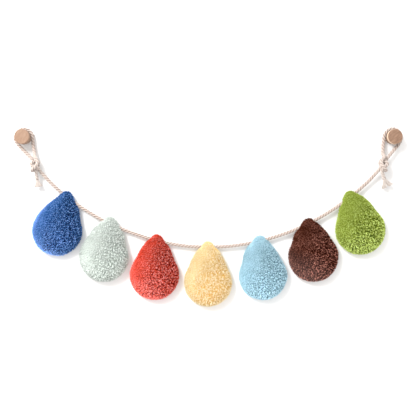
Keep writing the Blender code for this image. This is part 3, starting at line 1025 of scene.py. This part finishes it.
def pad_body(name, depth):
    # The padded body under the pile, from a copy of the solid: evenly meshed and drawn in.
    shape = bmesh.new()
    shape.from_mesh(frame["nodes"]["drop_" + name].data)
    bmesh.ops.remove_doubles(shape, verts=shape.verts, dist=MERGED_WITHIN)
    item = new_piece("drop_%s_pile" % name, [])
    shape.to_mesh(item.data)
    shape.free()
    remesh = item.modifiers.new("even mesh", "REMESH")
    remesh.mode = "VOXEL"
    remesh.voxel_size = BODY_MESH
    keep_result(item)
    points, normals = read_vectors(item.data, "co"), read_vectors(item.data, "normal")
    zones = zones_of(points, normals)
    sunk = ramp(zones["near"], SINK_START, SINK_WIDTH) * (1.0 - SINK_LOST_AT_RIM * zones["rim"])
    shallow = SINK_LAID + (1.0 - SINK_LAID) * zones["curly"]
    sunk *= (1.0 - SINK_LOST_AT_EDGE * zones["edge"]) * shallow
    keep_values(item.data, "sunk", sunk)
    write_points(item.data, points - normals * (depth * sunk)[:, None])
    return item


def read_vectors(mesh, kind):
    values = np.zeros(len(mesh.vertices) * 3)
    mesh.vertices.foreach_get(kind, values)
    return values.reshape(-1, 3)


def write_points(mesh, points):
    mesh.vertices.foreach_set("co", points.ravel())
    mesh.update()


def rope_nearness(points, normals):
    # How far each point lies from the middle of the rope, and how much it belongs to a rim
    # that the rope comes out of, where the surface faces along the rope.
    tree = KDTree(len(ROUTE))
    for number, point in enumerate(ROUTE):
        tree.insert(point, number)
    tree.balance()
    found = [tree.find(point) for point in points]
    distance = np.array([item[2] for item in found])
    along = np.gradient(ROUTE, axis=0)[[item[1] for item in found]]
    along /= np.linalg.norm(along, axis=1)[:, None]
    facing = np.abs((along * normals).sum(axis=1))
    rim = ramp(distance, RIM_REACH, -RIM_FADE)
    return distance, rim * np.clip(RIM_FACING * facing - RIM_LEAST, 0.0, 1.0)


def puff(items, limit):
    # Fills the bodies like cushions: cloth under pressure, held where the rope goes through.
    scene = bpy.context.scene
    scene.frame_start = 1
    scene.frame_end = PUFF_FRAMES
    starts = []
    for item in items:
        starts.append(read_vectors(item.data, "co"))
        near, _ = rope_nearness(starts[-1], read_vectors(item.data, "normal"))
        group = item.vertex_groups.new(name="held")
        held = np.flatnonzero(near < HELD_WITHIN)
        group.add([int(number) for number in held], 1.0, "REPLACE")
        cloth = item.modifiers.new("filling", "CLOTH")
        cloth.settings.vertex_group_mass = group.name
        cloth.settings.quality = 5
        cloth.settings.mass = 0.3
        cloth.settings.tension_stiffness = 15.0
        cloth.settings.use_pressure = True
        cloth.settings.uniform_pressure_force = 4.0
        cloth.settings.effector_weights.gravity = 0.0
        cloth.point_cache.frame_start = 1
        cloth.point_cache.frame_end = PUFF_FRAMES
    for number in range(1, PUFF_FRAMES + 1):
        scene.frame_set(number)
    graph = bpy.context.evaluated_depsgraph_get()
    for item, start in zip(items, starts):
        moved = read_vectors(item.evaluated_get(graph).data, "co") - start
        length = np.linalg.norm(moved, axis=1)[:, None]
        moved *= np.minimum(1.0, limit / np.maximum(length, TINY))
        item.modifiers.clear()
        item.vertex_groups.clear()
        write_points(item.data, start + moved)
    scene.frame_set(1)


def cotton_shades(colour, contrast, richness, tip_highlight):
    # The pile's colours: deep, a painted shade between the tufts and at the roots, middle, and
    # pale at the tips, painted light with a whitish painted highlight.
    strongest = max(colour)
    return [
        tuple(
            (1.0 - white) * min(factor, BRIGHTEST / strongest) * value
            * (value / strongest) ** depth + white * BRIGHTEST
            for value in colour
        )
        for factor, depth, white in (
            (max(DEEP[0], 1.0 - DEEP[1] * contrast), richness, 0.0),
            (max(MIDDLE[0], 1.0 - MIDDLE[1] * contrast), 0.0, 0.0),
            (1.0 + PALE * contrast, 0.0, tip_highlight),
        )
    ]


def pile_finish(name, shades):
    # Matt cotton pile: painted shade deep between the tufts and at the roots, painted light at
    # their pale tips, each tuft a little different.
    deep, middle, pale = shades
    material, bench, shader = start_finish(name, {
        "Roughness": 1.0,
        "Specular IOR Level": 0.02,
        "Sheen Weight": 0.04,
        "Sheen Roughness": 0.6,
        "Sheen Tint": opaque(pale),
    })
    tip, tone, shade, curly = (
        bench.shade_value(kind) for kind in ("tip", "tone", "shade", "curly")
    )
    own = bench.own_place()
    patches = bench.noise(own, scale=55.0)
    fibres = bench.noise(own, scale=1600.0)
    # Painted shade at the roots, in the gaps and in the valleys, and painted light at the tips
    # and peaks, with the cotton's own fibres and patches.
    share = tip * (TIP_LEAST + (1.0 - TIP_LEAST) * tone)
    share = share + (1.0 - tip) * (1.0 - curly) * ROOT_LAID
    share = share + (fibres - 0.5) * PILE_FIBRE_TINT + (patches - 0.5) * PATCH_TINT
    stops = {"stops": [(0.05, deep), (0.5, middle), (0.95, pale)]}
    coloured = bench.add("ShaderNodeValToRGB", stops, {"Fac": bench.clamped(share)})
    # The painted light and shade of the drop's zones, in doublings; painted light also whitens
    # it.
    coloured = bench.scaled(coloured, 2.0 ** shade)
    whitened = bench.clamped(WHITENED * shade)
    bench.feed(shader.inputs["Base Color"], bench.blend(whitened, coloured, WHITE))
    bench.bump(shader, fibres, strength=0.5, distance=0.3 * MM)
    return material


def zones_of(points, normals):
    # The drop's zones: near the rope, at the rims that it comes out of, at the drop's own edge,
    # and where the pile is curly, at the front but for the left and upper flanks.
    near, rim = rope_nearness(points, normals)
    middle = 0.5 * (points.min(axis=0) + points.max(axis=0))
    across, _, up = ((points - middle) / (0.5 * np.ptp(points, axis=0))).T
    edge = np.clip(1.0 + normals[:, 1] / EDGE_TURN, 0.0, 1.0)
    curly = np.clip(CURLY_MIDDLE + CURLY_RIGHT * across - CURLY_LOW * up, CURLY_LEAST, 1.0)
    curly *= 1.0 - CURLY_LOST_AT_EDGE * edge
    return {"near": near, "rim": rim, "edge": edge, "curly": curly, "across": across, "up": up}


def mark_zones(body, flank, foot, rim_light):
    # Where the pile grows, outside the rope's channel and less thickly at the back; how curly it
    # is; where it lies down; and its painted light and shade, how much lighter or darker than
    # elsewhere it is, in doublings. Returns the drop's own way up, from its middle to its tip.
    points, normals = read_vectors(body.data, "co"), read_vectors(body.data, "normal")
    zones = zones_of(points, normals)
    across, up, edge, curly = (zones[name] for name in ("across", "up", "edge", "curly"))
    grown = ramp(zones["near"], GROWN_START, GROWN_WIDTH)
    grown *= 1.0 - BACK_THINNED * ramp(normals[:, 1], 0.0, BACK_TURN)
    laid = (1.0 - curly) * (1.0 - edge)
    lit = np.clip(LIT_MIDDLE - across - LIT_LOW * up, 0.0, 1.0)
    outer = np.clip(1.0 + normals[:, 1] / OUTER_TURN, 0.0, OUTER_MOST)
    outer *= np.clip(1.0 - OUTER_BACK * normals[:, 1], 0.0, 1.0)
    # Painted light and shade: lighter at the left and darker at the right, lighter at the foot
    # with its paler pile, painted light on the lit outer rim, and darker where the pile lies
    # down.
    shade = -FLANK_SHADE * flank * across + FOOT_SHADE * foot * np.maximum(FOOT_LEAST, -up)
    shade += rim_light * outer * lit - LAID_SHADE * laid
    for name, values in (("grown", grown), ("curly", curly), ("laid", laid), ("shade", shade)):
        keep_values(body.data, name, values)
    top = points[np.argmax(points[:, 2])] - 0.5 * (points.min(axis=0) + points.max(axis=0))
    return Vector((top[0], 0.0, top[2])).normalized()


def press_flat(mesh):
    # The pile that leans on the wall is pressed together in front of it.
    points = read_vectors(mesh, "co")
    room = PRESSED_WITHIN - WALL_GAP
    beyond = np.maximum(0.0, points[:, 1] + PRESSED_WITHIN)
    pressed = -WALL_GAP - room * np.exp(-beyond / room)
    points[:, 1] = np.where(beyond > 0.0, pressed, points[:, 1])
    write_points(mesh, points)


def fibre_forms(bench, given):
    # One short fibre of each form, thinner towards its end, with how far along it a point lies.
    forms = []
    radius = 0.5 * given.out("Thickness") / given.out("Length")
    for bend, end in FIBRES:
        sockets = {"Resolution": FIBRE_STEPS, "Start": FIBRE_START, "Middle": bend, "End": end}
        curve = bench.add("GeometryNodeCurveQuadraticBezier", {}, sockets)
        along = bench.add("GeometryNodeSplineParameter").out("Factor")
        sockets = {"Curve": curve, "Radius": 1.0 - FIBRE_TAPER * along}
        curve = bench.add("GeometryNodeSetCurveRadius", {}, sockets)
        curve = bench.store(curve, "tip", along)
        fibre = bench.tube(curve, bench.circle(FIBRE_SIDES, radius))
        forms.append(bench.add("GeometryNodeGeometryToInstance", {}, {"Geometry": fibre}))
    return bench.add("GeometryNodeJoinGeometry", {}, {"Geometry": forms})


def tufts(bench, place, clump):
    # How far inside its tuft a place lies, 0 at the gaps between tufts and 1 well inside, and
    # lower in valleys, where shade is painted; and how far it lies on a pale peak, a painted
    # highlight.
    settings = {"feature": "DISTANCE_TO_EDGE"}
    border = bench.add("ShaderNodeTexVoronoi", settings, {"Vector": place, "Scale": 1.0 / clump})
    inside = bench.clamped(border / TUFT_EDGE)
    curls = bench.noise(place, scale=VALLEY_GRAIN / clump, detail=0.0)
    valley_shade = bench.clamped(VALLEY_LEAST + abs(curls - 0.5) / VALLEY_WIDTH)
    shifted = bench.vector_sum(place, PEAK_SHIFT)
    peaks = bench.noise(shifted, scale=PEAK_GRAIN / clump, detail=0.0)
    peak_highlight = bench.clamped(1.0 - abs(peaks - 0.5) / PEAK_WIDTH)
    return valley_shade * (TUFT_LEAST + (1.0 - TUFT_LEAST) * inside), peak_highlight


def pile_tree():
    # Fibres planted all over a body that lean together into small tufts; where the body's
    # attribute "curly" is low they lie down smoothly instead, one way.
    tree, bench, given = start_tree("tufted pile", {
        "Spacing": 1.0 * MM,
        "Length": 5.0 * MM,
        "Thickness": 1.0 * MM,
        "Clump": 4.0 * MM,
        "Leaning": 0.8,
        "Streaks": 1.0,
        "Axis": (0.0, 0.0, 1.0),
        "Seed": 1,
    })
    body, clump, axis, seed = (given.out(name) for name in ("Geometry", "Clump", "Axis", "Seed"))
    curly = bench.field("curly")
    points = bench.add(
        "GeometryNodeDistributePointsOnFaces",
        {"distribute_method": "POISSON"},
        {
            "Mesh": body,
            "Distance Min": given.out("Spacing"),
            "Density Max": MOST_FIBRES,
            "Density Factor": bench.field("grown"),
            "Seed": seed,
        },
    )
    # Each fibre's place among the tufts: swirled, and squeezed along the drop into streaks.
    here = bench.point()
    swirl = bench.noise(here, scale=SWIRL_GRAIN, output=1)
    swirl = bench.vector_sum(swirl, (-0.5, -0.5, -0.5))
    moved = bench.vector_sum(here, bench.scaled(swirl, SWIRL * clump))
    height = bench.vectors("DOT_PRODUCT", moved, axis, output=1)
    squeezed = bench.scaled(axis, height * (1.0 / given.out("Streaks") - 1.0))
    moved = bench.vector_sum(moved, squeezed)
    cells = bench.add("ShaderNodeTexVoronoi", {}, {"Vector": moved, "Scale": 1.0 / clump})
    inwards = bench.vectors("SUBTRACT", cells.out("Position"), moved)
    lean = bench.scaled(inwards, curly * given.out("Leaning") / given.out("Length"))
    laid = bench.scaled(LAID_WAY, bench.field("laid"))
    facing = bench.vector_sum(bench.vector_sum(points.out("Normal"), lean), laid)
    upright = bench.add("FunctionNodeAlignRotationToVector", {"axis": "Z"}, {"Vector": facing})
    turned = {"Axis": (0.0, 0.0, 1.0), "Angle": bench.chance(0.0, math.tau, seed + 1)}
    turned = bench.add("FunctionNodeAxisAngleToRotation", {}, turned)
    turned = bench.add(
        "FunctionNodeRotateRotation",
        {"rotation_space": "LOCAL"},
        {"Rotation": upright, "Rotate By": turned},
    )
    inside, peak_highlight = tufts(bench, moved, clump)
    # The tone carries painted shade in the gaps and valleys and a painted highlight on the peaks,
    # on top of its chance tone.
    tone = bench.chance(-TONE_CHANCE, TONE_CHANCE, seed + 4)
    tone = (TONE_LAID + (1.0 - TONE_LAID) * curly) * tone + 0.5
    tone = tone + curly * (TONE_INSIDE * (inside - TONE_EVEN) + TONE_PEAK * peak_highlight)
    length = bench.chance(1.0 - LENGTH_CHANCE, 1.0 + LENGTH_CHANCE, seed + 2)
    length = given.out("Length") * length
    tall = LENGTH_USUAL + LENGTH_INSIDE * curly * (inside - LENGTH_EVEN)
    tall = (LENGTH_LEAST + (1.0 - LENGTH_LEAST) * bench.field("sunk")) * tall
    size = bench.add("ShaderNodeCombineXYZ", {}, {0: length, 1: length, 2: length * tall})
    planted = bench.add(
        "GeometryNodeInstanceOnPoints",
        {},
        {
            "Points": bench.store(points, "tone", tone),
            "Instance": fibre_forms(bench, given),
            "Pick Instance": True,
            "Instance Index": bench.chance(0, len(FIBRES) - 1, seed + 3, whole=True),
            "Rotation": turned,
            "Scale": size,
        },
    )
    whole = bench.add("GeometryNodeJoinGeometry", {}, {"Geometry": [body, planted]})
    end_tree(bench, whole, given)
    return tree


class GARLAND_OT_drops(bpy.types.Operator):
    """Pad the drops and plant their pile"""

    bl_idname = "garland.drops"
    bl_label = "Drops"

    def execute(self, context):
        settings = context.scene.garland.pile
        swelling = SWELLING
        bodies = [pad_body(name, settings.depth + swelling) for name, *_ in DROPS]
        puff(bodies, swelling)
        tree = pile_tree()
        for number, (row, body) in enumerate(zip(DROPS, bodies)):
            name, flank, foot, rim_light, contrast, richness, tip_highlight, streaks = row
            axis = mark_zones(body, flank, foot, rim_light)
            shades = cotton_shades(getattr(settings, name), contrast, richness, tip_highlight)
            grow(body, tree, {
                "Spacing": settings.spacing,
                "Length": settings.length,
                "Thickness": settings.thickness,
                "Clump": settings.clump,
                "Leaning": settings.leaning,
                "Streaks": streaks,
                "Axis": axis,
                "Seed": settings.seed + SEED_STEP * number,
                "Finish": pile_finish(name + " tufted cotton", shades),
            })
            press_flat(body.data)
            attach(body, "root")
            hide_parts("drop_" + name)
            "pile_" + name
        return {"FINISHED"}


# Pegs

def wood_finish(name, colours, lean, centre, radius):
    # Turned light wood with fine grain lines that lean by an angle on the face. Its side takes a
    # colour of its own, painted light and shade for how that side is lit, which fades into the
    # wood towards the wall.
    wood, grain, side = colours
    material, bench, shader = start_finish(name, {"Specular IOR Level": 0.35})
    own = bench.own_place()
    turned = bench.add(
        "ShaderNodeMapping",
        {"vector_type": "POINT"},
        {"Vector": own, "Location": centre, "Rotation": (0.0, lean, 0.0)},
    )
    stretched = bench.vectors("MULTIPLY", turned, WOOD_STRETCH)
    lines = bench.noise(stretched, scale=70.0, detail=4.0)
    flecks = bench.noise(stretched, scale=330.0)
    share = (lines - 0.5) * LINE_TINT + (flecks - 0.5) * FLECK_TINT + WOOD_MIDDLE
    face = bench.blend(bench.clamped(share), wood, grain)
    offset = bench.vector_sum(own, centre)
    flat = bench.vectors("MULTIPLY", offset, (1.0, 0.0, 1.0))
    away = bench.vectors("LENGTH", flat, output=1)
    front = bench.add("ShaderNodeSeparateXYZ", {}, {0: offset}, output=1)
    # The side's painted light and shade, near the face's edge and fading towards the wall.
    rim = bench.clamped((away - radius + FACE_EDGE) / FACE_EDGE_WIDTH)
    rim = rim * bench.clamped((-SIDE_START - front) / SIDE_WIDTH)
    bench.feed(shader.inputs["Base Color"], bench.blend(rim, face, side))
    bench.bump(shader, lines, strength=0.12, distance=0.4 * MM)
    bench.feed(shader.inputs["Roughness"], WOOD_ROUGHNESS + FLECK_ROUGHNESS * flecks)
    return material


class GARLAND_OT_pegs(bpy.types.Operator):
    """Give both pegs their wood"""

    bl_idname = "garland.pegs"
    bl_label = "Pegs"

    def execute(self, context):
        settings = context.scene.garland.pegs
        for end, lean in GRAIN_LEANS:
            node = "peg_" + end
            low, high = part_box(node)
            colours = [getattr(settings, end + kind) for kind in ("_wood", "_grain", "_side")]
            centre = -(low + high) / 2
            radius = (high - low)[0] / 2
            finish = wood_finish("peg %s wood" % end, colours, lean, centre, radius)
            for slot in frame["nodes"][node].material_slots:
                slot.material = finish
        return {"FINISHED"}


# Stage

def wall_finish(colour):
    # White paint, seen from the room's side only, so that the garland's back can be looked at.
    material, bench, shader = start_finish("white wall paint", {
        "Base Color": opaque(colour),
        "Roughness": 0.9,
        "Specular IOR Level": 0.0,
    })
    output = material.node_tree.nodes["Material Output"]
    clear = bench.add("ShaderNodeBsdfTransparent")
    seen = bench.add("ShaderNodeLightPath").out("Is Camera Ray")
    behind = bench.add("ShaderNodeNewGeometry").out("Backfacing")
    shown = bench.add(
        "ShaderNodeMixShader",
        {},
        {0: seen * (1.0 - behind), 1: clear, 2: Wire(bench, shader.outputs["BSDF"])},
    )
    bench.feed(output.inputs["Surface"], shown)
    return material


def plane_piece(name, corners, finish):
    item = new_piece(name, corners, faces=[(0, 1, 2, 3)])
    item.data.materials.append(finish)


def add_light(name, place, target, power, size):
    data = bpy.data.lights.new(name, "AREA")
    data.energy = power
    data.shape = "SQUARE"
    data.size = size
    item = bpy.data.objects.new(name, data)
    bpy.context.scene.collection.objects.link(item)
    item.location = place
    item.rotation_euler = (target - place).to_track_quat("-Z", "Y").to_euler()


class GARLAND_OT_stage(bpy.types.Operator):
    """Set the camera, the soft light, the wall and the floor"""

    bl_idname = "garland.stage"
    bl_label = "Stage"

    def execute(self, context):
        scene = context.scene
        settings = scene.garland.stage
        data = bpy.data.cameras.new("camera")
        data.lens = CAMERA_LENS
        data.sensor_width = 36.0
        camera = bpy.data.objects.new("camera", data)
        scene.collection.objects.link(camera)
        camera.location = CAMERA_PLACE
        camera.rotation_euler = (math.pi / 2, 0.0, 0.0)
        scene.camera = camera
        middle = Vector(GARLAND_MIDDLE)
        place = middle + KEY_DISTANCE * Vector(KEY_WAY).normalized()
        add_light("key", place, middle, settings.key_power, settings.key_size)
        world = bpy.data.worlds.new("studio")
        scene.world = world
        world.use_nodes = True
        background = world.node_tree.nodes["Background"]
        background.inputs["Color"].default_value = (1.0, 1.0, 1.0, 1.0)
        background.inputs["Strength"].default_value = settings.sky_strength
        constants = {"Base Color": opaque(settings.wall), "Roughness": 0.8}
        floor, *_ = start_finish("pale floor", constants)
        (left, low), (right, high) = WALL_CORNERS
        near, far = -FLOOR_REACH, FLOOR_REACH
        corners = [(left, 0, low), (right, 0, low), (right, 0, high), (left, 0, high)]
        plane_piece("wall", corners, wall_finish(settings.wall))
        corners = [(near, near, low), (far, near, low), (far, far, low), (near, far, low)]
        plane_piece("floor", corners, floor)
        scene.view_settings.view_transform = "Standard"
        return {"FINISHED"}


class GARLAND_PT_panel(bpy.types.Panel):
    """Steps that build the garland"""

    bl_idname = "GARLAND_PT_panel"
    bl_label = "Raindrop Garland"
    bl_space_type = "VIEW_3D"
    bl_region_type = "UI"
    bl_category = "Garland"

    def draw(self, context):
        for step in STEPS:
            self.layout.operator(step.bl_idname)


STEPS = (GARLAND_OT_stage, GARLAND_OT_rope, GARLAND_OT_frays, GARLAND_OT_drops, GARLAND_OT_pegs)
CLASSES = (
    RopeSettings,
    PileSettings,
    PegSettings,
    StageSettings,
    GarlandSettings,
    *STEPS,
    GARLAND_PT_panel,
)


def register():
    for item in CLASSES:
        bpy.utils.register_class(item)
    bpy.types.Scene.garland = PointerProperty(type=GarlandSettings)


def unregister():
    del bpy.types.Scene.garland
    for item in reversed(CLASSES):
        bpy.utils.unregister_class(item)


def main():
    register()
    bpy.ops.garland.stage()
    bpy.ops.garland.rope()
    bpy.ops.garland.frays()
    bpy.ops.garland.drops()
    bpy.ops.garland.pegs()


if __name__ == "__main__":
    main()
